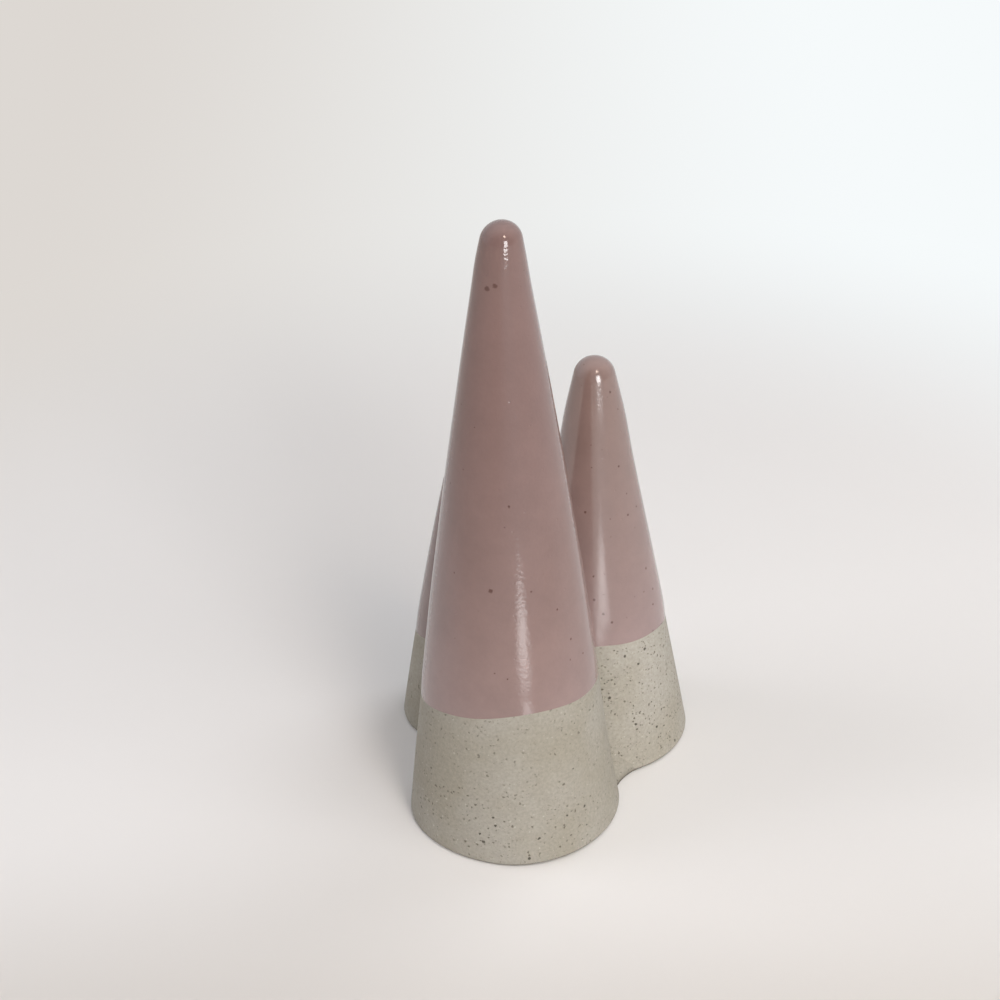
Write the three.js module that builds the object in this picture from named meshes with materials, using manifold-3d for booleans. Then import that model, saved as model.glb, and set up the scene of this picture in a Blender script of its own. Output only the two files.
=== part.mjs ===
// Ring cone holder: three hollow stoneware cones, luted together at their feet and dipped in glaze.
// Millimetres, +Z up. The origin is the middle of the footprint, on the surface that the holder stands on.
import * as THREE from "three";
import { mergeVertices } from "three/addons/utils/BufferGeometryUtils.js";
import Module from "manifold-3d";

// Tall cone, from whose axis the other two cones are placed. The shoulder angle is in degrees off vertical,
// where the cone's flank runs into its rounded tip
const TALL_HEIGHT = 150.8;
const TALL_FOOT_RADIUS = 24;
const TALL_TIP_RADIUS = 4.3;
const TALL_SHOULDER_ANGLE = 9.5;

// Medium cone, behind the tall one on the right
const MEDIUM_X = 20.6;
const MEDIUM_Y = 31.1;
const MEDIUM_HEIGHT = 101;
const MEDIUM_FOOT_RADIUS = 22;
const MEDIUM_TIP_RADIUS = 4.5;
const MEDIUM_SHOULDER_ANGLE = 10.8;

// Short cone, behind the tall one on the left
const SHORT_X = -9.9;
const SHORT_Y = 38.1;
const SHORT_HEIGHT = 69;
const SHORT_FOOT_RADIUS = 16.4;
const SHORT_TIP_RADIUS = 4.6;
const SHORT_SHOULDER_ANGLE = 12.1;

// Clay shells
const WALL = 5.5;
const TIP_DEPTH = 20;
const HOLLOW_TIP_RADIUS = 2;
const FOOT_ROUND = 0.8;

// Luted joints: each pair of cones is pared flat where it meets, and a seam fills the joint and its valley
const JOINT_WIDTH = 1.2;
const FLAT_WALL = 3;
const SEAM_CLEARANCE = 0.3;
const SEAM_RISE = 8;
const FILLET_RADIUS = 4;
const FILLET_FLARE_ANGLE = 25;
const CORE_CLEARANCE = 1.5;

// Glaze, down to one sloping dip line for all three cones; its height is at the tall cone's axis
const GLAZE_THICKNESS = 0.5;
const GLAZE_CLEARANCE = 0.1;
const DIP_HEIGHT = 34.7;
const DIP_SLOPE_ANGLE_X = 4.6;
const DIP_SLOPE_ANGLE_Y = -12.9;

// Facets
const AROUND = 40;
const FLANK_STEPS = 6;
const TIP_STEPS = 4;
const FOOT_STEPS = 2;

const TALL = {
  axis: new THREE.Vector2(0, 0),
  height: TALL_HEIGHT,
  footRadius: TALL_FOOT_RADIUS,
  tipRadius: TALL_TIP_RADIUS,
  shoulderAngle: THREE.MathUtils.degToRad(TALL_SHOULDER_ANGLE),
};
const MEDIUM = {
  axis: new THREE.Vector2(MEDIUM_X, MEDIUM_Y),
  height: MEDIUM_HEIGHT,
  footRadius: MEDIUM_FOOT_RADIUS,
  tipRadius: MEDIUM_TIP_RADIUS,
  shoulderAngle: THREE.MathUtils.degToRad(MEDIUM_SHOULDER_ANGLE),
};
const SHORT = {
  axis: new THREE.Vector2(SHORT_X, SHORT_Y),
  height: SHORT_HEIGHT,
  footRadius: SHORT_FOOT_RADIUS,
  tipRadius: SHORT_TIP_RADIUS,
  shoulderAngle: THREE.MathUtils.degToRad(SHORT_SHOULDER_ANGLE),
};
const CONES = [TALL, MEDIUM, SHORT];

// Cutters run past what they cut by this much, and half spaces are blocks larger than the whole holder
const OVERSHOOT = 1;
const BLOCK = 4 * Math.max(...CONES.map((cone) => cone.height + cone.axis.length() + cone.footRadius));

const wasm = await Module();
wasm.setup();

/** Turns a closed geometry into a solid that can be joined and cut. */
function toSolid(geometry) {
  geometry.deleteAttribute("normal");
  geometry.deleteAttribute("uv");
  const merged = mergeVertices(geometry);
  const corners = merged.index.array;
  const triangles = [];
  for (let i = 0; i < corners.length; i += 3) {
    const [a, b, c] = corners.slice(i, i + 3);
    if (a !== b && b !== c && c !== a) triangles.push(a, b, c);
  }
  return new wasm.Manifold(new wasm.Mesh({
    numProp: 3,
    vertProperties: new Float32Array(merged.attributes.position.array),
    triVerts: new Uint32Array(triangles),
  }));
}

/** Turns a solid back into a geometry. */
function toGeometry(solid) {
  const mesh = solid.getMesh();
  const geometry = new THREE.BufferGeometry();
  geometry.setAttribute("position", new THREE.BufferAttribute(mesh.vertProperties, mesh.numProp));
  geometry.setIndex(new THREE.BufferAttribute(mesh.triVerts, 1));
  geometry.computeVertexNormals();
  return geometry;
}

/** Solid of revolution about a vertical axis, from a half outline that starts and ends on it. */
function turned(outline, axis) {
  const geometry = new THREE.LatheGeometry(outline, AROUND);
  geometry.rotateX(Math.PI / 2);
  geometry.translate(axis.x, axis.y, 0);
  return toSolid(geometry);
}

/** Everything behind a plane, seen along its normal. */
function halfSpace(point, normal) {
  const geometry = new THREE.BoxGeometry(BLOCK, BLOCK, BLOCK);
  geometry.translate(0, 0, -BLOCK / 2);
  geometry.applyQuaternion(new THREE.Quaternion().setFromUnitVectors(new THREE.Vector3(0, 0, 1), normal));
  geometry.translate(point.x, point.y, point.z);
  return toSolid(geometry);
}

/** Half outline of a cone's flank and rounded tip, from the given height up, grown outwards. */
function flank({ height, footRadius, tipRadius, shoulderAngle }, grow, bottom) {
  const tipCentre = height - tipRadius;
  const tip = new THREE.EllipseCurve(
    0, tipCentre, tipRadius + grow, tipRadius + grow, shoulderAngle, Math.PI / 2,
  );
  const foot = new THREE.Vector2(footRadius + grow, bottom);
  const shoulder = tip.getPoint(0);
  const tangent = new THREE.Vector2(Math.sin(shoulderAngle), -Math.cos(shoulderAngle));
  const middle = shoulder.clone().addScaledVector(tangent, foot.distanceTo(shoulder) / 2);
  const side = new THREE.QuadraticBezierCurve(foot, middle, shoulder);
  return [...side.getPoints(FLANK_STEPS), ...tip.getPoints(TIP_STEPS).slice(1)];
}

/** Filled cone with its outside grown by the given amount, which runs on below the standing surface. */
function grownCone(cone, grow) {
  const root = [new THREE.Vector2(0, -OVERSHOOT), new THREE.Vector2(cone.footRadius + grow, -OVERSHOOT)];
  return turned([...root, ...flank(cone, grow, 0)], cone.axis);
}

/** Filled clay cone with the rounded lower edge of its foot. */
function clayCone(cone) {
  const edge = new THREE.EllipseCurve(
    cone.footRadius - FOOT_ROUND, FOOT_ROUND, FOOT_ROUND, FOOT_ROUND, -Math.PI / 2, 0,
  );
  const foot = [new THREE.Vector2(0, 0), ...edge.getPoints(FOOT_STEPS).slice(0, -1)];
  return turned([...foot, ...flank(cone, 0, FOOT_ROUND)], cone.axis);
}

/** Hollow inside a cone, open at the foot. */
function hollow(cone) {
  const inside = {
    ...cone,
    height: cone.height - TIP_DEPTH,
    footRadius: cone.footRadius - WALL,
    tipRadius: HOLLOW_TIP_RADIUS,
  };
  const mouth = [new THREE.Vector2(0, -OVERSHOOT), new THREE.Vector2(inside.footRadius, -OVERSHOOT)];
  return turned([...mouth, ...flank(inside, 0, 0)], cone.axis);
}

/** How far along the line between their centres two circles meet. */
function meetingOffset(distance, firstRadius, secondRadius) {
  return (distance ** 2 + firstRadius ** 2 - secondRadius ** 2) / (2 * distance);
}

/** Plan of the joint between two cones: its point between the axes, and the direction to the second. */
function joint(first, second) {
  const across = second.axis.clone().sub(first.axis);
  const offset = meetingOffset(across.length(), first.footRadius, second.footRadius);
  across.normalize();
  return { across, point: first.axis.clone().addScaledVector(across, offset) };
}

/** Cuts a cone back from the joints with its neighbours. */
function pare(solid, cone, setback) {
  let pared = solid;
  for (const other of CONES.filter((candidate) => candidate !== cone)) {
    const { across, point } = joint(cone, other);
    point.addScaledVector(across, -setback);
    const face = new THREE.Vector3(point.x, point.y, 0);
    pared = pared.intersect(halfSpace(face, new THREE.Vector3(across.x, across.y, 0)));
  }
  return pared;
}

/** Clay shell of one cone. */
function shell(cone) {
  const outside = pare(clayCone(cone), cone, JOINT_WIDTH / 2);
  const inside = pare(hollow(cone), cone, JOINT_WIDTH / 2 + FLAT_WALL);
  return outside.subtract(inside);
}

/** Unit normal of the dip line's plane, pointing up. */
function dipNormal() {
  const slopeX = Math.tan(THREE.MathUtils.degToRad(DIP_SLOPE_ANGLE_X));
  const slopeY = Math.tan(THREE.MathUtils.degToRad(DIP_SLOPE_ANGLE_Y));
  return new THREE.Vector3(-slopeX, -slopeY, 1).normalize();
}

/** Glaze coat over the part of one cone above the dip line. */
function glazeCoat(cone) {
  const outside = pare(grownCone(cone, GLAZE_CLEARANCE + GLAZE_THICKNESS), cone, JOINT_WIDTH / 2);
  const dipped = halfSpace(new THREE.Vector3(0, 0, DIP_HEIGHT), dipNormal().negate());
  return outside.subtract(grownCone(cone, GLAZE_CLEARANCE)).intersect(dipped);
}

/** Height at which the flanks of two cones part, or the standing surface if their feet are apart. */
function partingHeight(first, second) {
  const shared = grownCone(first, 0).intersect(grownCone(second, 0));
  return shared.isEmpty() ? 0 : shared.boundingBox().max[2];
}

/** Point in plan where all three joints meet. */
function core() {
  const one = joint(TALL, MEDIUM);
  const two = joint(TALL, SHORT);
  const along = new THREE.Vector2(-one.across.y, one.across.x);
  const travel = two.point.sub(one.point).dot(two.across) / along.dot(two.across);
  return one.point.addScaledVector(along, travel);
}

/** Direction along the joint of two cones that leads away from the third. */
function outwards(first, second, third) {
  const { across } = joint(first, second);
  const along = new THREE.Vector2(-across.y, across.x);
  const inwards = along.dot(third.axis.clone().sub(first.axis)) > 0;
  return inwards ? along.negate() : along;
}

/** Centre of the upright fillet that touches the feet of two cones in their outer valley. */
function filletCentre(first, second, third) {
  const { across } = joint(first, second);
  const firstReach = first.footRadius + FILLET_RADIUS;
  const secondReach = second.footRadius + FILLET_RADIUS;
  const offset = meetingOffset(first.axis.distanceTo(second.axis), firstReach, secondReach);
  const centre = first.axis.clone().addScaledVector(across, offset);
  return centre.addScaledVector(outwards(first, second, third), Math.sqrt(firstReach ** 2 - offset ** 2));
}

/** Cutter that hollows a fillet, wider towards its top so that the fillet fades out. */
function filletCutter(centre, top) {
  const height = top + 2 * OVERSHOOT;
  const flare = Math.tan(THREE.MathUtils.degToRad(FILLET_FLARE_ANGLE));
  const lowRadius = FILLET_RADIUS - OVERSHOOT * flare;
  const geometry = new THREE.CylinderGeometry(lowRadius + height * flare, lowRadius, height, AROUND);
  geometry.rotateX(Math.PI / 2);
  geometry.translate(centre.x, centre.y, height / 2 - OVERSHOOT);
  return toSolid(geometry);
}

/** Luting clay between two cones: a slab in the joint that widens into a fillet in the outer valley. */
function seam(first, second, third) {
  const start = core().addScaledVector(outwards(first, second, third), CORE_CLEARANCE);
  const end = filletCentre(first, second, third);
  const top = partingHeight(first, second) + SEAM_RISE;
  const plan = new THREE.Shape([start, first.axis, end, second.axis]);
  const block = toSolid(new THREE.ExtrudeGeometry(plan, { depth: top, bevelEnabled: false }));
  const belowGlaze = halfSpace(new THREE.Vector3(0, 0, DIP_HEIGHT - SEAM_CLEARANCE), dipNormal());
  let fill = block.intersect(belowGlaze).subtract(filletCutter(end, top));
  for (const cone of CONES) {
    const room = pare(grownCone(cone, SEAM_CLEARANCE), cone, JOINT_WIDTH / 2 - SEAM_CLEARANCE);
    fill = fill.subtract(room);
  }
  return fill;
}

/** Bare speckled stoneware. */
function clay() {
  return new THREE.MeshStandardMaterial({ color: "#b3a999", roughness: 0.9, metalness: 0 });
}

/** Dusty pink satin glaze. */
function glaze() {
  return new THREE.MeshStandardMaterial({ color: "#a1877f", roughness: 0.35, metalness: 0 });
}

/** Named mesh of one piece. */
function piece(name, solid, material) {
  const mesh = new THREE.Mesh(toGeometry(solid), material);
  mesh.name = name;
  return mesh;
}

/** Middle of the smallest upright box around the three feet, in plan. */
function footprintCentre() {
  const box = new THREE.Box2();
  for (const { axis, footRadius } of CONES) {
    box.expandByPoint(axis.clone().addScalar(footRadius));
    box.expandByPoint(axis.clone().addScalar(-footRadius));
  }
  return box.getCenter(new THREE.Vector2());
}

const holder = new THREE.Group();
const centre = footprintCentre();
holder.position.set(-centre.x, -centre.y, 0);
holder.add(
  piece("tall_cone", shell(TALL), clay()),
  piece("medium_cone", shell(MEDIUM), clay()),
  piece("short_cone", shell(SHORT), clay()),
  piece("tall_cone_glaze", glazeCoat(TALL), glaze()),
  piece("medium_cone_glaze", glazeCoat(MEDIUM), glaze()),
  piece("short_cone_glaze", glazeCoat(SHORT), glaze()),
  piece("tall_medium_seam", seam(TALL, MEDIUM, SHORT), clay()),
  piece("tall_short_seam", seam(TALL, SHORT, MEDIUM), clay()),
  piece("medium_short_seam", seam(MEDIUM, SHORT, TALL), clay()),
);

export default holder;
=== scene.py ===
"""Looks of a ring cone holder: three glazed stoneware cones that are luted together at their feet.

Sizes are in millimetres and degrees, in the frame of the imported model: the origin is the middle of the
footprint on the standing surface, +Z is up and +Y leads from the tall cone to the two cones behind it.
Meshes are built in millimetres and turned to metres when they are finished.
"""

from __future__ import annotations

import logging
import math
from bisect import bisect_left
from collections.abc import Iterable
from dataclasses import dataclass
from enum import Enum, auto
from functools import cached_property
from typing import Any

import bmesh
import bpy
from bmesh.types import BMesh, BMVert
from bpy.types import Material, NodeSocket, NodeTree
from mathutils import Matrix, Vector, noise
from mathutils.geometry import interpolate_bezier

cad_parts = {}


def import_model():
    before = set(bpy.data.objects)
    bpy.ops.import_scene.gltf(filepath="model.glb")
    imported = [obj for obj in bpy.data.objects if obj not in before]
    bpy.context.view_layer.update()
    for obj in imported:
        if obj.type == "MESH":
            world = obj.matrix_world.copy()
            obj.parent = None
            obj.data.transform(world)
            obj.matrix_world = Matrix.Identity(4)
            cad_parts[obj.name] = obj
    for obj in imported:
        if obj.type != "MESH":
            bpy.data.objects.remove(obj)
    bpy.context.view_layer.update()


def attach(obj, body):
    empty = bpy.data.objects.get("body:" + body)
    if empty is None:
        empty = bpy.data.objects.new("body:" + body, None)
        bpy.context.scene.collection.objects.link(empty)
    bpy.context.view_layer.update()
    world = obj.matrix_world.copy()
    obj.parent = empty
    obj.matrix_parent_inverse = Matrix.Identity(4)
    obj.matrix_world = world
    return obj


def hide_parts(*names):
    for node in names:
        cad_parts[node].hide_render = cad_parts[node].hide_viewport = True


LOG = logging.getLogger("ring_cone_holder")
MM = 0.001

# Points that lie closer than this are one point.
MERGE = 1e-4
# Range that the values of a noise pattern mostly stay in.
NOISE_LOW, NOISE_HIGH = 0.3, 0.7
# Size and reach of the unevenness of a single grain, and the share of its radius that is full.
SPOT_UNEVEN, SPOT_REACH, SPOT_CORE = 0.7, 0.25, 0.5

Outline = list[tuple[float, float]]
Spot = tuple[float, float, float, float]
Relief = tuple[NodeSocket, float, bool]


class Slot(Enum):
    """Material slots of the record."""

    CLAY = "clay"
    GLAZE = "glaze"
    LUTING = "luting_clay"


class Valley(Enum):
    """Sides of a joint between two cones: away from the third cone, or towards it."""

    OUTER = auto()
    INNER = auto()


def linear(code: str) -> tuple[float, float, float, float]:
    """Turns an sRGB hex colour to linear.

    Args:
        code: colour as "#RRGGBB".

    Returns:
        Linear red, green and blue, with an alpha of 1.
    """
    shares = [int(code[start : start + 2], 16) / 255 for start in (1, 3, 5)]
    red, green, blue = (s / 12.92 if s <= 0.04045 else ((s + 0.055) / 1.055) ** 2.4 for s in shares)
    return red, green, blue, 1.0


def per_metre(size: float) -> float:
    """Gives the texture scale at which one repeat is this many millimetres."""
    return 1 / (size * MM)


def heading(turn: float) -> Vector:
    """Gives the direction in plan at a turn from the front towards +X."""
    return Vector((math.sin(math.radians(turn)), -math.cos(math.radians(turn))))


class Nodes:
    """Nodes of a material, or of the light from all round, and the patterns that are made of them.

    Attributes:
        tree: node tree that holds the nodes.
        place: output with the Object coordinates.
    """

    def __init__(self, tree: NodeTree) -> None:
        """Empties a node tree and adds the coordinates."""
        tree.nodes.clear()
        self.tree = tree
        self.place: NodeSocket = self.add("TexCoord", output="Object")

    def add(
        self, kind: str, sockets: dict[Any, Any] | None = None, output: str = "", **settings: Any
    ) -> Any:
        """Adds a shader node with its settings, values and links.

        Args:
            kind: kind of shader node.
            sockets: input names or numbers, each with a value or with the output that is linked to it.
            output: name of the output to return.
            settings: the node's own properties.

        Returns:
            The named output, or else the first that is in use, or None for a node without outputs.
        """
        node = self.tree.nodes.new(f"ShaderNode{kind}")
        for name, value in settings.items():
            setattr(node, name, value)
        for socket, value in (sockets or {}).items():
            if isinstance(value, NodeSocket):
                self.tree.links.new(value, node.inputs[socket])
            else:
                node.inputs[socket].default_value = value
        if output:
            return node.outputs[output]
        return next((socket for socket in node.outputs if socket.enabled), None)

    def shift(self, size: float, reach: float) -> NodeSocket:
        """Makes the coordinates uneven, so that a pattern's outlines are ragged.

        Args:
            size: size of the unevenness.
            reach: how far it moves the pattern, which is also its mean shift along each axis.

        Returns:
            Output with the moved coordinates.
        """
        uneven = {"Vector": self.place, "Scale": per_metre(size), "Detail": 1.0}
        warp = self.add("TexNoise", uneven, output="Color")
        moved = {0: warp, 1: (2 * reach * MM,) * 3, 2: self.place}
        return self.add("VectorMath", moved, operation="MULTIPLY_ADD")

    def with_spots(self, mask: NodeSocket, spots: Iterable[Spot]) -> NodeSocket:
        """Adds single large grains to a pattern of grains.

        Args:
            mask: output that is 1 inside a grain of the pattern.
            spots: place and radius of each single grain.

        Returns:
            Output that is 1 inside a grain of either kind.
        """
        ragged = self.shift(SPOT_UNEVEN, SPOT_REACH)
        for *centre, radius in spots:
            middle = (Vector(centre) + Vector((SPOT_REACH,) * 3)) * MM
            gap = self.add("VectorMath", {0: ragged, 1: middle}, operation="DISTANCE")
            edge = {"From Min": radius * MM, "From Max": radius * MM * SPOT_CORE}
            spot = self.add("MapRange", {"Value": gap, **edge}, interpolation_type="SMOOTHSTEP")
            mask = self.add("Math", {0: mask, 1: spot}, operation="MAXIMUM")
        return mask

    def soft_change(
        self, axis: str, ends: tuple[float, float], values: tuple[float, float] = (0.0, 1.0)
    ) -> NodeSocket:
        """Makes a soft change along an axis.

        Args:
            axis: name of the axis.
            ends: places on the axis between which the change happens.
            values: values up to the first place and from the second one on.

        Returns:
            Output with the value.
        """
        along = self.add("SeparateXYZ", {"Vector": self.place}, output=axis)
        reach = {"From Min": ends[0] * MM, "From Max": ends[1] * MM}
        change = {"Value": along, **reach, "To Min": values[0], "To Max": values[1]}
        return self.add("MapRange", change, interpolation_type="SMOOTHSTEP")

    def mottle(self, colour: NodeSocket, pattern: NodeSocket, contrast: float) -> NodeSocket:
        """Lightens and darkens a colour by a noise pattern.

        Args:
            colour: output with the colour.
            pattern: output with the noise.
            contrast: share by which the colour changes either way.

        Returns:
            Output with the changed colour.
        """
        reach = {"From Min": NOISE_LOW, "From Max": NOISE_HIGH}
        factors = {"To Min": 1 - contrast, "To Max": 1 + contrast}
        factor = self.add("MapRange", {"Value": pattern, **reach, **factors})
        return self.add("VectorMath", {0: colour, "Scale": factor}, operation="SCALE")

    def dress(self, colour: NodeSocket, relief: Iterable[Relief], inputs: dict[str, float]) -> None:
        """Adds the shader of a surface with fine relief.

        Args:
            colour: output with the colour.
            relief: pattern and height of each layer of the relief, and whether it is sunk.
            inputs: the shader's other inputs.
        """
        normal: dict[str, NodeSocket] = {}
        for pattern, height, sunk in relief:
            layer = {"Height": pattern, "Distance": height * MM, "Strength": 1.0, **normal}
            normal = {"Normal": self.add("Bump", layer, invert=sunk)}
        shader = self.add("BsdfPrincipled", {"Base Color": colour, **inputs, **normal})
        self.add("OutputMaterial", {"Surface": shader})

    def seen_rays(self) -> NodeSocket:
        """Gives 1 for rays of the camera, gloss and glass, and 0 where light is gathered."""
        seen = self.add("LightPath", output="Is Camera Ray")
        for ray in ("Is Glossy Ray", "Is Transmission Ray"):
            other = self.add("LightPath", output=ray)
            seen = self.add("Math", {0: seen, 1: other}, operation="MAXIMUM")
        return seen


def new_material(name: str) -> tuple[Material, Nodes]:
    """Makes a material whose nodes are still to be added."""
    material = bpy.data.materials.new(name)
    material.use_nodes = True
    return material, Nodes(material.node_tree)


@dataclass(frozen=True)
class Grains:
    """Grains or pits that are scattered through a body and cut open by its surface.

    Attributes:
        spacing: mean distance between the places that may hold a grain.
        radius: radius of the largest grains.
        share: share of the places that hold a grain.
        edge: width of the soft edge.
        ragged: how far their outlines stray from round.
    """

    spacing: float
    radius: float
    share: float
    edge: float
    ragged: float = 0.0

    # Size of the unevenness in an outline, in radii.
    UNEVEN = 1.5

    def mask(self, nodes: Nodes) -> NodeSocket:
        """Adds the nodes of the pattern.

        Args:
            nodes: nodes of the material.

        Returns:
            Output that is 1 inside a grain and 0 outside.
        """
        place = nodes.shift(self.radius * self.UNEVEN, self.ragged) if self.ragged else nodes.place
        gap = nodes.add("TexVoronoi", {"Vector": place, "Scale": per_metre(self.spacing)})
        draw = nodes.add("SeparateColor", {"Color": gap.node.outputs["Color"]})
        sizes = {"From Min": 1 - self.share, "From Max": 1.0, "To Max": self.radius / self.spacing}
        radius = nodes.add("MapRange", {"Value": draw, **sizes})
        core = nodes.add("Math", {0: radius, 1: self.edge / self.spacing}, operation="SUBTRACT")
        edge = {"From Min": radius, "From Max": core}
        return nodes.add("MapRange", {"Value": gap, **edge}, interpolation_type="SMOOTHSTEP")


@dataclass(frozen=True)
class SpeckledStoneware:
    """Bare stoneware with iron grit, sponged and fired.

    It is matt and slightly sandy to the eye: a warm grey body, cloudy over a couple of centimetres, with
    dark pits of a third to two thirds of a millimetre, a few black iron grains and pale grains of grog. The
    pits lie denser in some patches than in others, and the sponge has calmed the grain above the foot. The
    edge that the holder stands on is darker, which is painted shade where the contact shadow falls.
    """

    name: str = "speckled stoneware"
    body: str = "#9D988E"
    cloud: str = "#958F82"
    pit: str = "#675F52"
    iron: str = "#453F37"
    grog: str = "#D0C9BD"
    # Colour of the painted shade along the edge that the holder stands on.
    foot: str = "#6F675C"
    roughness: float = 0.86
    sheen: float = 0.3
    cloud_size: float = 19.0
    cloud_range: tuple[float, float] = (0.35, 0.65)
    sand_size: float = 0.7
    sand_contrast: float = 0.09
    sand_height: float = 0.035
    patch_size: float = 6.0
    patch_range: tuple[float, float] = (0.4, 0.56)
    sparse: float = 0.12
    pit_grains: Grains = Grains(spacing=0.9, radius=0.36, share=0.9, edge=0.16, ragged=0.4)
    pit_depth: float = 0.14
    pores: Grains = Grains(spacing=0.5, radius=0.2, share=0.75, edge=0.12, ragged=0.2)
    iron_grains: Grains = Grains(spacing=3.0, radius=0.4, share=0.4, edge=0.15, ragged=0.3)
    grog_grains: Grains = Grains(spacing=1.1, radius=0.32, share=0.5, edge=0.15, ragged=0.2)
    spots: tuple[Spot, ...] = ()
    dark_strength: float = 0.9
    pore_strength: float = 0.45
    grog_strength: float = 0.35
    foot_shade_height: float = 0.8
    calm: float = 0.65
    crisp_height: float = 6.0
    calm_height: float = 26.0

    def pits(self, nodes: Nodes) -> NodeSocket:
        """Adds the nodes of shallow, ragged pits that lie denser in some patches than in others.

        Args:
            nodes: nodes of the material.

        Returns:
            Output that is 1 at the bottom of a pit and 0 outside.
        """
        patches = nodes.add("TexNoise", {"Vector": nodes.place, "Scale": per_metre(self.patch_size)})
        few, many = self.patch_range
        spread = {"From Min": few, "From Max": many, "To Min": self.sparse}
        density = nodes.add("MapRange", {"Value": patches, **spread})
        grains = self.pit_grains.mask(nodes)
        return nodes.add("Math", {0: grains, 1: density}, operation="MULTIPLY")

    def ground(self, nodes: Nodes, sand: NodeSocket) -> NodeSocket:
        """Adds the nodes of the clay's own colour.

        Args:
            nodes: nodes of the material.
            sand: output with the sandy pattern.

        Returns:
            Output with the colour, without grains.
        """
        uneven = {"Scale": per_metre(self.cloud_size), "Detail": 3.0, "Roughness": 0.55}
        clouds = nodes.add("TexNoise", {"Vector": nodes.place, **uneven})
        clear, dense = self.cloud_range
        share = nodes.add("MapRange", {"Value": clouds, "From Min": clear, "From Max": dense})
        shades = {6: linear(self.body), 7: linear(self.cloud)}
        base = nodes.add("Mix", {0: share, **shades}, data_type="RGBA")
        return nodes.mottle(base, sand, self.sand_contrast)

    def material(self) -> Material:
        """Makes the material."""
        material, nodes = new_material(self.name)
        uneven = {"Scale": per_metre(self.sand_size), "Detail": 2.0, "Roughness": 0.6}
        sand = nodes.add("TexNoise", {"Vector": nodes.place, **uneven})
        colour = self.ground(nodes, sand)
        pits = self.pits(nodes)
        iron = nodes.with_spots(self.iron_grains.mask(nodes), self.spots)
        # Painted shade: darker towards the edge that the holder stands on, where the contact shadow falls.
        foot_edge = nodes.soft_change("Z", (self.foot_shade_height, self.foot_shade_height / 4))
        calmed = nodes.soft_change("Z", (self.crisp_height, self.calm_height), (1.0, self.calm))
        layers = (
            (self.grog_grains.mask(nodes), self.grog, self.grog_strength, calmed),
            (self.pores.mask(nodes), self.pit, self.pore_strength, calmed),
            (pits, self.pit, self.dark_strength, calmed),
            (iron, self.iron, self.dark_strength, 1.0),
            (foot_edge, self.foot, self.dark_strength, 1.0),
        )
        for mask, shade, share, strength in layers:
            part = nodes.add("Math", {0: mask, 1: share}, operation="MULTIPLY")
            amount = nodes.add("Math", {0: part, 1: strength}, operation="MULTIPLY")
            colour = nodes.add("Mix", {0: amount, 6: colour, 7: linear(shade)}, data_type="RGBA")
        relief = ((sand, self.sand_height, False), (pits, self.pit_depth, True))
        nodes.dress(colour, relief, {"Roughness": self.roughness, "Specular IOR Level": self.sheen})
        return material


@dataclass(frozen=True)
class PinkGlaze:
    """Dusty pink glaze, dipped and fired glossy over iron-speckled clay.

    It is smooth and mirrors small lights, with a faint orange peel, pinholes that break its highlights up,
    soft cloudy changes of tone and reddish brown iron specks that have bled into it. It is darker and
    browner towards the tip than at the dip line, which is painted shade, and lighter on the very top,
    which is painted light.
    """

    name: str = "dusty pink glaze"
    # Colours at the dip line and at the tip: the darker tip colour is painted shade.
    rim: str = "#8D7773"
    rim_height: float = 35.0
    tip: str = "#765C57"
    tip_height: float = 125.0
    shade_curve: float = 2.0
    # Painted light: a lighter colour on the very top.
    painted_top_light: str = "#856B66"
    top_light_height: float = 151.0
    top_light_depth: float = 2.5
    roughness: float = 0.1
    ior: float = 1.6
    cloud_size: float = 13.0
    cloud_contrast: float = 0.07
    peel_size: float = 0.9
    peel_height: float = 0.035
    pinholes: Grains = Grains(spacing=1.4, radius=0.34, share=0.6, edge=0.25)
    pinhole_depth: float = 0.03
    speck: str = "#54362F"
    speck_strength: float = 0.9
    specks: Grains = Grains(spacing=2.8, radius=0.4, share=0.45, edge=0.25, ragged=0.2)
    spots: tuple[Spot, ...] = ()

    def tone(self, nodes: Nodes) -> NodeSocket:
        """Adds the nodes of the glaze's own colour.

        Args:
            nodes: nodes of the material.

        Returns:
            Output with the colour, without specks.
        """
        # Painted shade: the colour darkens from the dip line towards the tip.
        height = nodes.add("SeparateXYZ", {"Vector": nodes.place}, output="Z")
        ends = {"From Min": self.tip_height * MM, "From Max": self.rim_height * MM}
        low = nodes.add("MapRange", {"Value": height, **ends})
        rim_share = nodes.add("Math", {0: low, 1: self.shade_curve}, operation="POWER")
        shades = {6: linear(self.tip), 7: linear(self.rim)}
        base = nodes.add("Mix", {0: rim_share, **shades}, data_type="RGBA")
        # Painted light: the very top is lighter.
        top_share = nodes.soft_change("Z", (self.top_light_height - self.top_light_depth, self.top_light_height))
        top_lit = nodes.add("Mix", {0: top_share, 6: base, 7: linear(self.painted_top_light)}, data_type="RGBA")
        uneven = {"Scale": per_metre(self.cloud_size), "Detail": 6.0, "Roughness": 0.72}
        clouds = nodes.add("TexNoise", {"Vector": nodes.place, **uneven})
        return nodes.mottle(top_lit, clouds, self.cloud_contrast)

    def material(self) -> Material:
        """Makes the material."""
        material, nodes = new_material(self.name)
        specks = nodes.with_spots(self.specks.mask(nodes), self.spots)
        amount = nodes.add("Math", {0: specks, 1: self.speck_strength}, operation="MULTIPLY")
        shades = {6: self.tone(nodes), 7: linear(self.speck)}
        colour = nodes.add("Mix", {0: amount, **shades}, data_type="RGBA")
        uneven = {"Scale": per_metre(self.peel_size), "Detail": 1.0}
        peel = nodes.add("TexNoise", {"Vector": nodes.place, **uneven})
        pinholes = self.pinholes.mask(nodes)
        relief = ((peel, self.peel_height, False), (pinholes, self.pinhole_depth, True))
        nodes.dress(colour, relief, {"Roughness": self.roughness, "IOR": self.ior})
        return material


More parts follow.
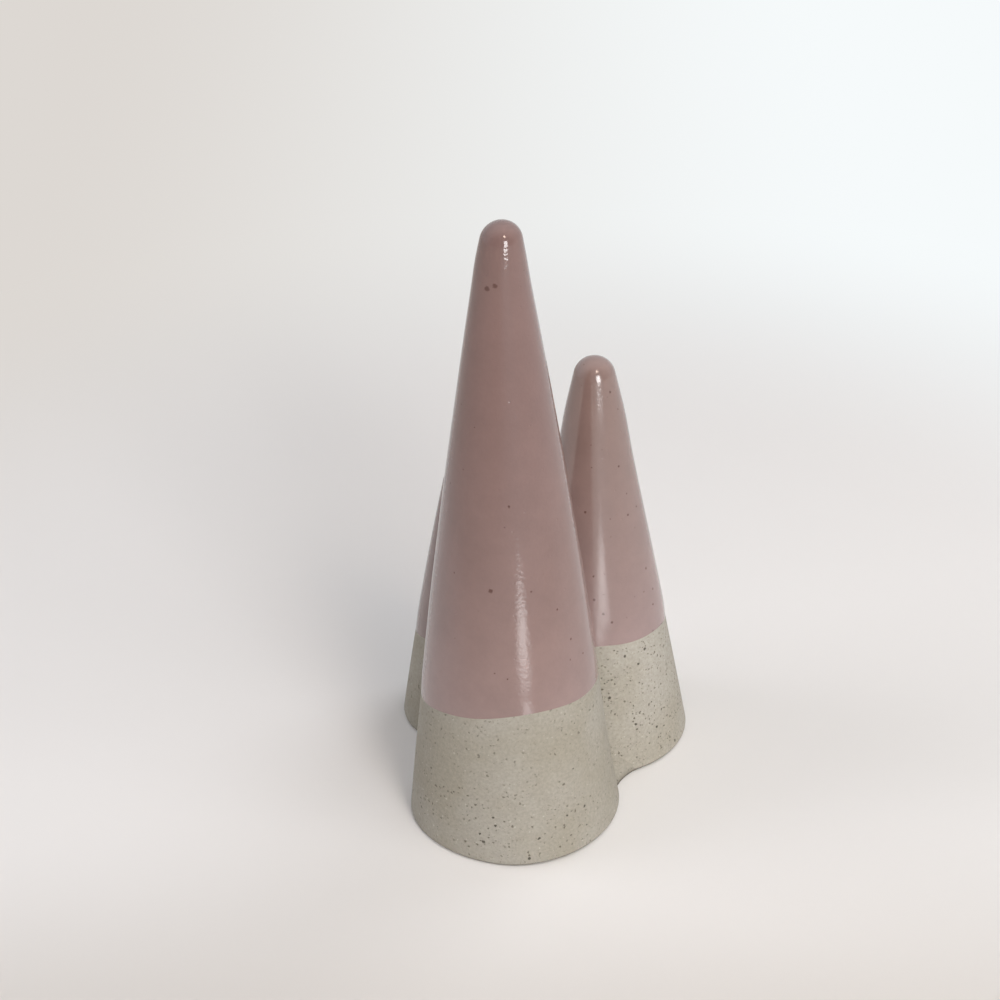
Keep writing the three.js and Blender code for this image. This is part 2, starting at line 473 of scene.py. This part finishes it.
@dataclass(frozen=True)
class Glint:
    """Glowing spot painted into the floor outside the picture, no lamp, which only glossy surfaces show.

    Attributes:
        middle: its middle in plan.
        turn: direction of its length, from +X towards +Y.
        reach: half its length and half its width.
        radiance: brightness of its middle, where 1 is white.
    """

    middle: tuple[float, float]
    turn: float
    reach: tuple[float, float]
    radiance: float

    # Share of the reach that has the full brightness.
    CORE = 0.1

    def strength(self, nodes: Nodes) -> NodeSocket:
        """Adds the nodes of the spot.

        Args:
            nodes: nodes of the floor's material.

        Returns:
            Output with the spot's brightness.
        """
        frame = {
            "Location": Vector((*self.middle, 0)) * MM,
            "Rotation": (0, 0, math.radians(self.turn)),
            "Scale": (self.reach[0] * MM, self.reach[1] * MM, 1),
        }
        inside = nodes.add("Mapping", {"Vector": nodes.place, **frame}, vector_type="TEXTURE")
        distance = nodes.add("VectorMath", {0: inside}, operation="LENGTH")
        fade = {"From Min": 1.0, "From Max": self.CORE, "To Max": self.radiance}
        return nodes.add("MapRange", {"Value": distance, **fade}, interpolation_type="SMOOTHSTEP")


@dataclass(frozen=True)
class PaperFloor:
    """Matt white paper for the floor, which brightens to a pale backdrop away from the holder.

    The paper is darker in front of the holder than behind it and the backdrop is greyer on the left than on
    the right, both of which are painted shade. Glowing spots that are painted into the floor outside the
    picture, and are no lamps, are there for the glaze to mirror as highlights.
    """

    name: str = "matt white paper"
    sheet: str = "#E9E6E3"
    # Painted shade: the paper is darker in front of the holder.
    front: str = "#CAC4BD"
    front_range: tuple[float, float] = (-130.0, -20.0)
    # Painted shade: the backdrop's glow is greyer on the left than on the right.
    left: str = "#DDD8D3"
    right: str = "#F6FAFB"
    side_range: tuple[float, float] = (-170.0, 127.5)
    near: float = 150.0
    far: float = 300.0
    roughness: float = 0.9
    sheen: float = 0.2
    # Painted glow: spots in the floor that shine for glossy rays only, no lamps.
    glints: tuple[Glint, ...] = (
        Glint((45, -190), -75, (82, 35), 4.6),
        Glint((21, -104), -93, (26, 14), 3.0),
    )

    def material(self) -> Material:
        """Makes the material."""
        material, nodes = new_material(self.name)
        # Painted shade on the backdrop's left side.
        across = nodes.soft_change("X", self.side_range)
        sides = {6: linear(self.left), 7: linear(self.right)}
        backdrop = nodes.add("Mix", {0: across, **sides}, data_type="RGBA")
        distance = nodes.add("VectorMath", {0: nodes.place}, operation="LENGTH")
        ends = {"From Min": self.near * MM, "From Max": self.far * MM}
        away = nodes.add("MapRange", {"Value": distance, **ends}, interpolation_type="SMOOTHSTEP")
        amount = nodes.add("Math", {0: away, 1: nodes.seen_rays()}, operation="MULTIPLY")
        # Painted shade on the paper in front of the holder.
        behind = nodes.soft_change("Y", self.front_range)
        shades = {6: linear(self.front), 7: linear(self.sheet)}
        sheet = nodes.add("Mix", {0: behind, **shades}, data_type="RGBA")
        matt = {"Roughness": self.roughness, "Specular IOR Level": self.sheen}
        paper = nodes.add("BsdfPrincipled", {"Base Color": sheet, **matt})
        glow = nodes.add("Emission", {"Color": backdrop, "Strength": 1.0})
        shader = nodes.add("MixShader", {0: amount, 1: paper, 2: glow})
        mirrored = nodes.add("LightPath", output="Is Glossy Ray")
        # Painted glow that glossy rays see as highlights in the glaze.
        for glint in self.glints:
            strength = glint.strength(nodes)
            shown = nodes.add("Math", {0: strength, 1: mirrored}, operation="MULTIPLY")
            spot = nodes.add("Emission", {"Strength": shown})
            shader = nodes.add("AddShader", {0: shader, 1: spot})
        nodes.add("OutputMaterial", {"Surface": shader})
        return material


@dataclass(frozen=True)
class DipLine:
    """Level of the glaze bath on the tilted holder, which leaves one sloping line round all three cones.

    Attributes:
        height: height of the line's plane at the given point.
        point: that point in plan, the tall cone's axis.
        slope_x: slope of the plane towards +X.
        slope_y: slope of the plane towards +Y.
        wave: how far the line strays from the plane.
        wave_length: length of its waves round a cone.
    """

    height: float = 34.55
    point: tuple[float, float] = (-8.15, -15.25)
    slope_x: float = 5.4
    slope_y: float = -12.9
    wave: float = 0.45
    wave_length: float = 14.0

    def level(self, x: float, y: float) -> float:
        """Height of the glaze line at a point in plan.

        Args:
            x: place along +X.
            y: place along +Y.

        Returns:
            The height, with the line's waves.
        """
        rise = math.tan(math.radians(self.slope_x)) * (x - self.point[0])
        rise += math.tan(math.radians(self.slope_y)) * (y - self.point[1])
        return self.height + rise + self.wave * noise.noise(Vector((x, y, 0)) / self.wave_length)


def finish_piece(name: str, bm: BMesh, node: str, material: Material) -> None:
    """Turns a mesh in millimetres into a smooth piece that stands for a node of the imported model.

    Args:
        name: name of the piece.
        bm: closed mesh, which is freed.
        node: name of the node that the piece replaces.
        material: finish of the piece.
    """
    bmesh.ops.recalc_face_normals(bm, faces=bm.faces)
    bmesh.ops.scale(bm, vec=(MM, MM, MM), verts=bm.verts)
    for face in bm.faces:
        face.smooth = True
    mesh = bpy.data.meshes.new(name)
    bm.to_mesh(mesh)
    bm.free()
    mesh.materials.append(material)
    piece = bpy.data.objects.new(name, mesh)
    bpy.context.scene.collection.objects.link(piece)
    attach(piece, "root")
    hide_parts(node)
    LOG.info("%s: %d faces, for %s", name, len(mesh.polygons), node)


@dataclass(frozen=True)
class Joint:
    """Plane of the joint between two cones.

    Attributes:
        point: point of the plane between the two axes, in plan.
        across: direction in plan towards the other cone.
    """

    point: Vector
    across: Vector


@dataclass(frozen=True)
class Press:
    """Shallow dent that a fingertip has left in the soft clay.

    Attributes:
        turn: its direction from the axis, from the front towards +X.
        level: height of its middle.
        depth: how deep its middle is.
        reach: how far it spreads round the cone, and up and down.
    """

    turn: float
    level: float
    depth: float
    reach: tuple[float, float]

    def at(self, out: Vector, level: float) -> float:
        """Depth of the dent at a point of the flank.

        Args:
            out: the point in plan, from the axis.
            level: height of the point.

        Returns:
            The depth.
        """
        around = out.angle(heading(self.turn)) * out.length / self.reach[0]
        rise = (level - self.level) / self.reach[1]
        return self.depth * math.exp(-(around**2) - rise**2)


@dataclass(frozen=True)
class Cone:
    """One hollow cone of fired clay, pared flat at its joints, and its coat of glaze.

    The flank is a curve from the foot that runs smoothly into the rounded tip.

    Attributes:
        name: name of the clay body's node.
        axis: place of the axis in plan.
        height: height of the tip.
        foot_radius: radius of the foot.
        tip_radius: radius of the rounded tip.
        shoulder_angle: angle of the flank off vertical where it runs into the tip.
        wall: thickness of the wall at the foot.
        tip_depth: solid clay above the hollow.
        hollow_tip_radius: radius of the hollow's rounded end.
        foot_round: radius of the rounded edges of the foot.
        joint_half: half the width of the luted joint.
        flat_wall: thickness of the wall at a pared flat.
        coat: how far the glaze stands out from the flank.
        bed: how far the coat's hidden inside lies below the flank.
        feather: height over which the glaze thins out to nothing at its lower edge.
        wobble: how far the hand-turned surface strays from a true cone.
        wobble_length: length of its waves.
        wobble_radius: radius below which the waves grow smaller.
        foot_skew: how far the front left of the foot is pressed in.
        foot_dent: how far the front of the foot is pressed in.
        foot_bulge: how far the foot stands out beside a joint.
        bulge_turn: direction of that bulge, from the front towards +X.
        bulge_focus: how closely the bulge keeps to that direction.
        skew_height: height over which the skew, dent and bulge fade out.
        presses: dents in the flank.
        tip_lean: how far the tip leans towards +X.
        lean_height: height over which it does so.
        swell: how far the flank swells out below the tip.
        swell_level: height of the swell's middle.
        swell_reach: how far it spreads up and down.
    """

    name: str
    axis: tuple[float, float]
    height: float
    foot_radius: float
    tip_radius: float
    shoulder_angle: float
    wall: float = 5.5
    tip_depth: float = 20.0
    hollow_tip_radius: float = 2.0
    foot_round: float = 0.8
    joint_half: float = 0.6
    flat_wall: float = 3.0
    coat: float = 0.24
    bed: float = 0.4
    feather: float = 6.0
    wobble: float = 0.07
    wobble_length: float = 24.0
    wobble_radius: float = 6.0
    foot_skew: float = 0.0
    foot_dent: float = 0.0
    foot_bulge: float = 0.0
    bulge_turn: float = 110.0
    bulge_focus: int = 4
    skew_height: float = 30.0
    presses: tuple[Press, ...] = ()
    tip_lean: float = 0.0
    lean_height: float = 13.0
    swell: float = 0.0
    swell_level: float = 0.0
    swell_reach: float = 6.0

    AROUND = 160
    FLANK_STEPS = 72
    TIP_STEPS = 16
    EDGE_STEPS = 6
    RIM_PASSES = 3
    # Radii within which a point counts as the tip, and as the axis.
    AT_TIP = 1.0
    AT_AXIS = 0.1
    # Shares of an edge's height that the flank keeps off it.
    FOOT_CLEAR = 1.2
    COAT_CLEAR = 1.1

    @property
    def middle(self) -> Vector:
        """Place of the axis in plan, as a vector."""
        return Vector(self.axis)

    def outline(self, grow: float = 0.0) -> Outline:
        """Half outline of the flank and tip, from the standing surface up.

        Args:
            grow: how far the outline is moved outwards.

        Returns:
            Radii and heights, of which the last is the tip.
        """
        shoulder = math.radians(self.shoulder_angle)
        centre = self.height - self.tip_radius
        steps = self.FLANK_STEPS, self.TIP_STEPS
        return flank_outline(self.foot_radius + grow, centre, self.tip_radius + grow, shoulder, steps)

    @cached_property
    def foot_edge(self) -> Outline:
        """Rounded edge of the foot, from its lowest point out and up, both counted from there."""
        size = self.foot_round
        turns = [math.pi / 2 * step / self.EDGE_STEPS for step in range(self.EDGE_STEPS + 1)]
        return [(size * math.sin(turn), size * (1 - math.cos(turn))) for turn in turns]

    def rounded_outline(self) -> Outline:
        """Half outline of the bare clay's outside, with the rounded edge of the foot."""
        lowest = self.radius(self.foot_round) - self.foot_round
        edge = [(lowest + out, up) for out, up in self.foot_edge]
        return edge + [p for p in self.outline() if p[1] > self.foot_round * self.FOOT_CLEAR]

    def hollow_outline(self) -> Outline:
        """Half outline of the hollow, from its rounded mouth up."""
        mouth = self.foot_radius - self.wall
        edge = [(mouth + self.foot_round - out, up) for out, up in self.foot_edge[:-1]]
        shoulder = math.radians(self.shoulder_angle)
        centre = self.height - self.tip_depth - self.hollow_tip_radius
        steps = self.FLANK_STEPS // 3, self.TIP_STEPS // 2
        inside = flank_outline(mouth, centre, self.hollow_tip_radius, shoulder, steps)
        return edge + [p for p in inside if p[1] > self.foot_round]

    @cached_property
    def flank(self) -> tuple[list[float], list[float]]:
        """Heights and radii of the flank, for looking radii up."""
        outline = self.outline()
        return [z for _, z in outline], [r for r, _ in outline]

    def radius(self, level: float) -> float:
        """Radius of the flank at a height."""
        heights, radii = self.flank
        after = min(max(bisect_left(heights, level), 1), len(heights) - 1)
        share = (level - heights[after - 1]) / (heights[after] - heights[after - 1])
        return radii[after - 1] + share * (radii[after] - radii[after - 1])

    def bare_radius(self, level: float) -> float:
        """Radius of the bare clay at a height, with the rounded edge of the foot."""
        short = max(self.foot_round - level, 0.0)
        return self.radius(level) - self.foot_round + math.sqrt(self.foot_round**2 - short**2)

    def turn(self, bm: BMesh, outline: Outline) -> list[BMVert]:
        """Turns an outline round the cone's axis.

        Args:
            bm: mesh that gets the turned surface.
            outline: radii and heights, of which those at a radius of 0 close the surface.

        Returns:
            The surface's vertices.
        """
        before = set(bm.verts)
        x, y = self.axis
        chain = [bm.verts.new((x + radius, y, height)) for radius, height in outline]
        edges = [bm.edges.new(ends) for ends in zip(chain, chain[1:])]
        path = {"cent": (x, y, 0), "axis": (0, 0, 1), "angle": math.tau, "steps": self.AROUND}
        bmesh.ops.spin(bm, geom=[*chain, *edges], use_merge=True, **path)
        turned = [vert for vert in bm.verts if vert not in before]
        bmesh.ops.remove_doubles(bm, verts=turned, dist=MERGE)
        return [vert for vert in bm.verts if vert not in before]

    def strayed(self, point: Vector) -> Vector:
        """Moves a point of the flank to where it lies on a cone that was turned and pressed by hand.

        Args:
            point: point of the true cone.

        Returns:
            The moved point.
        """
        lean = self.tip_lean * max(1 - (self.height - point.z) / self.lean_height, 0.0) ** 2
        leant = point + Vector((lean, 0, 0))
        out = point.xy - self.middle
        reach = out.length
        if reach < self.AT_TIP:
            return leant
        dents = sum(press.at(out, point.z) for press in self.presses)
        out /= reach
        pressed = (self.foot_skew * min(out.x, 0.0) - self.foot_dent) * max(-out.y, 0.0) ** 2
        bulge = self.foot_bulge * max(out.dot(heading(self.bulge_turn)), 0.0) ** self.bulge_focus
        low = max(1 - point.z / self.skew_height, 0.0)
        waves = self.wobble * noise.noise(point / self.wobble_length) * min(reach / self.wobble_radius, 1)
        swell = self.swell * math.exp(-(((point.z - self.swell_level) / self.swell_reach) ** 2))
        return leant + (out * (waves + swell - dents + (pressed + bulge) * low**2)).to_3d()

    def stray(self, verts: Iterable[BMVert]) -> None:
        """Moves vertices of a true cone to the surface of the one turned by hand."""
        for vert in verts:
            vert.co = self.strayed(vert.co)

    def spots(self, *marks: tuple[float, float, float]) -> tuple[Spot, ...]:
        """Places single grains on the flank.

        Args:
            marks: turn from the front towards +X, height and radius of each grain.

        Returns:
            Place and radius of each grain.
        """
        placed = []
        for turn, level, radius in marks:
            true = self.middle + heading(turn) * self.radius(level)
            placed.append((*self.strayed(Vector((true.x, true.y, level))), radius))
        return tuple(placed)

    def joint(self, other: Cone) -> Joint:
        """Plane of the joint with another cone, where the two feet would cross."""
        across = other.middle - self.middle
        span = across.length
        offset = (span**2 + self.foot_radius**2 - other.foot_radius**2) / (2 * span)
        across.normalize()
        return Joint(self.middle + across * offset, across)

    def pare(self, verts: Iterable[BMVert], others: Iterable[Cone], setback: float) -> None:
        """Presses vertices flat that stand beyond the cone's joints.

        Args:
            verts: vertices of one surface.
            others: the neighbouring cones.
            setback: distance of the flat from the joint's plane.
        """
        joints = [self.joint(other) for other in others]
        for vert in verts:
            for joint in joints:
                beyond = (vert.co.xy - joint.point).dot(joint.across) + setback
                if beyond > 0:
                    vert.co.xy -= joint.across * beyond

    def build_body(self, others: list[Cone], clay: Material) -> None:
        """Builds and dresses the hollow clay body.

        Args:
            others: the neighbouring cones.
            clay: finish of the bare clay.
        """
        bm = bmesh.new()
        outside = self.turn(bm, self.rounded_outline())
        self.stray(outside)
        self.pare(outside, others, self.joint_half)
        inside = self.turn(bm, self.hollow_outline())
        self.pare(inside, others, self.joint_half + self.flat_wall)
        rims = [edge for edge in bm.edges if edge.is_boundary]
        bmesh.ops.bridge_loops(bm, edges=rims)
        finish_piece(f"{self.name}_body", bm, self.name, clay)

    def coat_outline(self, rim: float) -> Outline:
        """Closed half outline of the glaze coat, from its outer tip round its lower edge to its inner tip.

        Args:
            rim: height of the coat's lower edge.

        Returns:
            Radii and heights.
        """
        top = rim + self.feather * self.COAT_CLEAR
        outside = [p for p in reversed(self.outline(self.coat)) if p[1] > top]
        edge = []
        for step in range(2 * self.EDGE_STEPS + 1):
            share = step / self.EDGE_STEPS - 1
            level = rim - self.feather * share
            edge.append((self.radius(level) - self.coat * math.sin(math.pi / 2 * share), level))
        bed = self.outline(-self.bed)
        inside = [p for p in bed[::3] if p[1] > rim - self.feather]
        return outside + edge + inside + [bed[-1]]

    def build_coat(self, dip: DipLine, glaze: Material) -> None:
        """Builds and dresses the glaze coat, and slides its lower edge to the dip line.

        Args:
            dip: line that the coat ends at.
            glaze: finish of the coat.
        """
        bm = bmesh.new()
        rim = dip.level(*self.axis)
        verts = self.turn(bm, self.coat_outline(rim))
        shoulder = self.height - self.tip_radius
        for vert in verts:
            out = vert.co.xy - self.middle
            if out.length < self.AT_AXIS or vert.co.z > shoulder:
                continue
            out.normalize()
            edge = rim
            for _ in range(self.RIM_PASSES):
                edge = dip.level(*(self.middle + out * self.radius(edge)))
            level = vert.co.z + (edge - rim) * min((shoulder - vert.co.z) / (shoulder - rim), 1)
            vert.co.xy += out * (self.radius(level) - self.radius(vert.co.z))
            vert.co.z = level
        self.stray(verts)
        finish_piece(f"{self.name}_coat", bm, f"{self.name}_glaze", glaze)


def flank_outline(
    foot_radius: float, tip_centre: float, tip_radius: float, shoulder: float, steps: tuple[int, int]
) -> Outline:
    """Half outline of a flank that curves up from a foot into a rounded tip.

    Args:
        foot_radius: radius at the standing surface.
        tip_centre: height of the tip's centre.
        tip_radius: radius of the tip.
        shoulder: angle off vertical, in radians, where the flank runs into the tip.
        steps: number of steps along the flank and round the tip.

    Returns:
        Radii and heights from the standing surface to the axis.
    """
    top = Vector((tip_radius * math.cos(shoulder), tip_centre + tip_radius * math.sin(shoulder)))
    foot = Vector((foot_radius, 0))
    bend = top + Vector((math.sin(shoulder), -math.cos(shoulder))) * ((foot - top).length / 2)
    flank = interpolate_bezier(foot, foot.lerp(bend, 2 / 3), top.lerp(bend, 2 / 3), top, steps[0] + 1)
    turns = [shoulder + (math.pi / 2 - shoulder) * step / steps[1] for step in range(1, steps[1])]
    tip = [(tip_radius * math.cos(turn), tip_centre + tip_radius * math.sin(turn)) for turn in turns]
    return [(point.x, point.y) for point in flank] + tip + [(0.0, tip_centre + tip_radius)]


@dataclass(frozen=True)
class LutedSeam:
    """Luting clay that joins two cones, smoothed into a fillet in the valley on each side of the joint.

    Attributes:
        name: name of the seam's node.
        first: one cone.
        second: the other cone.
        third: the cone that isn't joined here, which tells the inner valley from the outer one.
        top: height at which the seam ends.
        outer_fillet: radius of the fillet in the outer valley, at the standing surface.
        flare: how much wider than that it is thumbed out at the very foot.
        flare_height: height over which the flare fades out.
        inner_fillet: radius of the fillet in the inner valley, at the standing surface.
        bottom: gap below the seam, so that it stands behind the feet.
        sunk: how far the seam's hidden sides reach into the cones.
    """

    name: str
    first: Cone
    second: Cone
    third: Cone
    top: float
    outer_fillet: float = 2.5
    flare: float = 0.0
    flare_height: float = 7.0
    inner_fillet: float = 0.8
    bottom: float = 0.3
    sunk: float = 0.5

    ARC = 14
    RISE = 30
    # Share of its height that the mesh reaches, and how much more than the gap a fillet spans.
    TOP_SHARE = 0.995
    SPAN_SHARE = 1.02
    # Edges that rise less than this are level.
    LEVEL = 1e-6

    def fillet(self, level: float, valley: Valley) -> list[Vector]:
        """Plan of the fillet at a height, with its ends sunk into the cones.

        Args:
            level: the height.
            valley: side of the joint.

        Returns:
            Points in plan from the first cone to the second.
        """
        first, second = self.first.middle, self.second.middle
        across = second - first
        span = across.length
        across.normalize()
        out = Vector((-across.y, across.x))
        if (out.dot(self.third.middle - first) > 0) == (valley is Valley.OUTER):
            out.negate()
        radii = self.first.bare_radius(level), self.second.bare_radius(level)
        half_gap = max((span - sum(radii)) / 2, 0.0)
        least = half_gap * (1 + half_gap / (2 * min(radii))) * self.SPAN_SHARE
        full = self.outer_fillet if valley is Valley.OUTER else self.inner_fillet
        radius = least + full * (1 - level / self.top)
        if valley is Valley.OUTER:
            radius += self.flare * max(1 - level / self.flare_height, 0.0) ** 2
        reach = radii[0] + radius
        offset = (span**2 + reach**2 - (radii[1] + radius) ** 2) / (2 * span)
        centre = first + across * offset + out * math.sqrt(max(reach**2 - offset**2, 0.0))
        start = (first - centre).normalized()
        sweep = start.angle_signed(second - centre)
        turns = [-sweep * step / self.ARC for step in range(self.ARC + 1)]
        arc = [centre + Matrix.Rotation(turn, 2) @ start * radius for turn in turns]
        begin = arc[0] + (first - arc[0]).normalized() * self.sunk
        end = arc[-1] + (second - arc[-1]).normalized() * self.sunk
        return [begin, *arc, end]

    def build(self, clay: Material) -> None:
        """Builds and dresses the seam from a grid that is wrapped round its fillets.

        Args:
            clay: finish of the luting clay.
        """
        bm = bmesh.new()
        columns = 2 * (self.ARC + 3)
        bmesh.ops.create_grid(bm, x_segments=columns, y_segments=self.RISE, size=1.0)
        rows: dict[int, list[Vector]] = {}
        creases = {1, self.ARC + 1, self.ARC + 4, 2 * self.ARC + 4}
        crease_verts = set()
        rise = self.top * self.TOP_SHARE - self.bottom
        for vert in bm.verts:
            row = round((vert.co.y + 1) / 2 * self.RISE)
            column = round((vert.co.x + 1) / 2 * columns) % columns
            level = self.bottom + rise * math.sin(math.pi / 2 * row / self.RISE)
            if row not in rows:
                outer = self.fillet(level, Valley.OUTER)
                rows[row] = outer + self.fillet(level, Valley.INNER)[::-1]
            vert.co = rows[row][column].to_3d() + Vector((0, 0, level))
            if column in creases:
                crease_verts.add(vert)
        for edge in bm.edges:
            low, high = edge.verts
            if {low, high} <= crease_verts and abs(low.co.z - high.co.z) > self.LEVEL:
                edge.smooth = False
        bmesh.ops.remove_doubles(bm, verts=bm.verts, dist=MERGE)
        bmesh.ops.holes_fill(bm, edges=[edge for edge in bm.edges if edge.is_boundary])
        finish_piece(f"{self.name}_luting", bm, self.name, clay)


@dataclass(frozen=True)
class Softbox:
    """Rectangular studio lamp that faces the holder.

    Attributes:
        name: name of the lamp.
        azimuth: direction of the lamp, from the front towards +X.
        elevation: its height above the horizon.
        distance: its distance from the holder.
        size: width and height.
        radiance: brightness of its face, where 1 is white.
        colour: colour of its light.
        mirrored: whether glossy surfaces show it.
    """

    name: str
    azimuth: float
    elevation: float
    distance: float
    size: tuple[float, float]
    radiance: float
    colour: str = "#FFFFFF"
    mirrored: bool = False

    AIM = Vector((0.0, 0.0, 70.0))
    # Power per area of the lamp that gives its face a brightness of about 1.
    POWER = 4

    def build(self) -> None:
        """Makes the lamp."""
        turn, rise = math.radians(self.azimuth), math.radians(self.elevation)
        level = math.cos(rise)
        back = Vector((math.sin(turn) * level, -math.cos(turn) * level, math.sin(rise)))
        lamp = bpy.data.lights.new(self.name, "AREA")
        lamp.shape = "RECTANGLE"
        lamp.size, lamp.size_y = (side * MM for side in self.size)
        lamp.energy = self.POWER * self.radiance * lamp.size * lamp.size_y
        lamp.color = linear(self.colour)[:3]
        box = bpy.data.objects.new(self.name, lamp)
        box.location = (self.AIM + back * self.distance) * MM
        box.rotation_euler = back.to_track_quat("Z", "Y").to_euler()
        box.visible_glossy = self.mirrored
        bpy.context.scene.collection.objects.link(box)


@dataclass(frozen=True)
class Studio:
    """Plain pale floor, soft light and the camera.

    Attributes:
        floor_size: side of the floor.
        floor_drop: gap between the floor and the feet.
        ambient: colour of the light from all round.
        ambient_strength: its strength.
        backdrop_strength: brightness of the same, where it is seen or mirrored.
        front_strength: brightness of the room in front of the holder, where it is mirrored.
        front_range: shares of +Y in a mirrored direction between which the front changes to the backdrop.
        camera: place of the camera.
        pitch: angle by which it looks down.
        roll: turn about its line of sight.
        focal: focal length in widths of the image.
    """

    floor_size: float = 6000.0
    floor_drop: float = 0.05
    ambient: str = "#F4F7FA"
    ambient_strength: float = 0.12
    backdrop_strength: float = 1.0
    front_strength: float = 0.4
    front_range: tuple[float, float] = (-0.6, 0.1)
    camera: tuple[float, float, float] = (-9.54, -534.62, 407.09)
    pitch: float = 31.923
    roll: float = -1.411
    focal: float = 2.8

    SENSOR = 36.0
    LAMPS = (
        Softbox("window", 21, 14.9, 900, (300, 522), 8.8, mirrored=True),
        Softbox("ceiling", 20, 53, 1200, (215, 215), 10.0, "#FFE9D6", mirrored=True),
        Softbox("top", 0, 89, 1000, (800, 800), 0.9),
        Softbox("right", 52, 30, 1000, (700, 700), 1.6),
        Softbox("left", -90, 28, 1000, (700, 700), 2.3, "#F4F4FA"),
        Softbox("back right", 130, 35, 1000, (700, 700), 1.7, "#F4F8FF"),
    )

    def build_floor(self) -> None:
        """Makes the floor."""
        bm = bmesh.new()
        bmesh.ops.create_grid(bm, x_segments=1, y_segments=1, size=self.floor_size / 2)
        bmesh.ops.translate(bm, vec=(0, 0, -self.floor_drop), verts=bm.verts)
        bmesh.ops.scale(bm, vec=(MM, MM, MM), verts=bm.verts)
        mesh = bpy.data.meshes.new("floor")
        bm.to_mesh(mesh)
        bm.free()
        mesh.materials.append(PaperFloor().material())
        floor = bpy.data.objects.new("floor", mesh)
        bpy.context.scene.collection.objects.link(floor)

    def build_light(self) -> None:
        """Makes the lamps and the light from all round."""
        for lamp in self.LAMPS:
            lamp.build()
        world = bpy.data.worlds.new("soft light")
        world.use_nodes = True
        nodes = Nodes(world.node_tree)
        back = nodes.add("SeparateXYZ", {"Vector": nodes.place}, output="Y")
        ends = {"From Min": self.front_range[0], "From Max": self.front_range[1]}
        values = {"To Min": self.front_strength, "To Max": self.backdrop_strength}
        mirrored = nodes.add("MapRange", {"Value": back, **ends, **values})
        values = {"To Min": self.ambient_strength, "To Max": mirrored}
        strength = nodes.add("MapRange", {"Value": nodes.seen_rays(), **values})
        light = nodes.add("Background", {"Color": linear(self.ambient), "Strength": strength})
        nodes.add("OutputWorld", {"Surface": light})
        bpy.context.scene.world = world
        bpy.context.scene.view_settings.view_transform = "Standard"

    def build_camera(self) -> None:
        """Makes the camera and gives it to the scene."""
        lens = bpy.data.cameras.new("camera")
        lens.sensor_width = self.SENSOR
        lens.lens = self.focal * self.SENSOR
        camera = bpy.data.objects.new("camera", lens)
        tilt = Matrix.Rotation(math.radians(90 - self.pitch), 4, "X")
        roll = Matrix.Rotation(math.radians(self.roll), 4, "Z")
        camera.matrix_world = Matrix.Translation(Vector(self.camera) * MM) @ tilt @ roll
        bpy.context.scene.collection.objects.link(camera)
        bpy.context.scene.camera = camera


def main() -> None:
    """Builds the studio and the pieces of the holder."""
    logging.basicConfig(level=logging.INFO, format="%(name)s %(message)s")
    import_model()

    studio = Studio()
    studio.build_camera()
    studio.build_floor()
    studio.build_light()

    dip = DipLine()
    tall = Cone(
        "tall_cone",
        axis=(-8.15, -15.25),
        height=150.8,
        foot_radius=24.0,
        tip_radius=4.3,
        shoulder_angle=9.5,
        foot_skew=1.76,
        foot_dent=0.37,
        foot_bulge=1.15,
        tip_lean=0.36,
        swell=0.12,
        swell_level=142.3,
        swell_reach=4.5,
    )
    medium = Cone(
        "medium_cone",
        axis=(12.45, 15.85),
        height=101.0,
        foot_radius=22.0,
        tip_radius=4.5,
        shoulder_angle=10.8,
        presses=(Press(turn=1.5, level=34.0, depth=0.4, reach=(5.0, 22.0)),),
        swell=0.3,
        swell_level=87.5,
        swell_reach=8.0,
    )
    short = Cone(
        "short_cone",
        axis=(-18.05, 22.85),
        height=69.0,
        foot_radius=16.4,
        tip_radius=4.6,
        shoulder_angle=12.1,
    )
    cones = [tall, medium, short]
    left_spots = tall.spots((-18, 6, 0.55), (-20, 8, 0.4), (-12, 13, 0.4))
    right_spots = tall.spots((14, 7, 0.45), (8, 2, 0.45), (32, 11, 0.4), (45, 11, 0.4))
    clay = SpeckledStoneware(spots=left_spots + right_spots).material()
    high_spots = medium.spots((41, 30, 0.5), (22, 30, 0.4), (33, 27, 0.45), (8, 20, 0.5))
    low_spots = medium.spots((26, 12, 0.45), (43, 9, 0.45), (59, 2, 0.5))
    # Lit copy of the clay for the medium cone: lighter body as painted light, with its own coarser pits.
    lit_coarse_clay = SpeckledStoneware(
        name="coarse speckled stoneware",
        body="#A5A096",
        cloud="#9C9689",
        sand_contrast=0.1,
        sparse=0.4,
        pit_grains=Grains(spacing=0.75, radius=0.32, share=0.95, edge=0.13, ragged=0.22),
        spots=high_spots + low_spots,
        calm=1.0,
    ).material()
    specks = tall.spots((-30, 138.2, 0.78), (-13, 139.1, 0.72), (-14, 70, 0.7), (2, 90, 0.5))
    glaze = PinkGlaze(spots=specks).material()
    # Lit copy of the glaze for the medium cone: lighter colours as painted light, own gloss and specks.
    lit_glaze = PinkGlaze(
        name="pale dusty pink glaze",
        rim="#8F7976",
        tip="#7D655E",
        tip_height=100.0,
        painted_top_light="#8A716A",
        top_light_height=101.0,
        roughness=0.17,
        ior=1.76,
        peel_height=0.02,
        specks=Grains(spacing=2.0, radius=0.45, share=0.55, edge=0.25, ragged=0.2),
    ).material()
    # Shaded copy of the glaze for the short cone: darker colours as painted shade.
    shaded_glaze = PinkGlaze(name="shaded dusty pink glaze", rim="#7B6864", tip="#69524E").material()
    finishes = ((clay, glaze), (lit_coarse_clay, lit_glaze), (clay, shaded_glaze))
    for cone, (body, coat) in zip(cones, finishes):
        cone.build_body([other for other in cones if other is not cone], body)
        cone.build_coat(dip, coat)
    LutedSeam("tall_medium_seam", tall, medium, short, top=31.0, flare=11.5).build(clay)
    LutedSeam("tall_short_seam", tall, short, medium, top=11.0).build(clay)
    LutedSeam("medium_short_seam", medium, short, tall, top=25.0).build(clay)


if __name__ == "__main__":
    main()
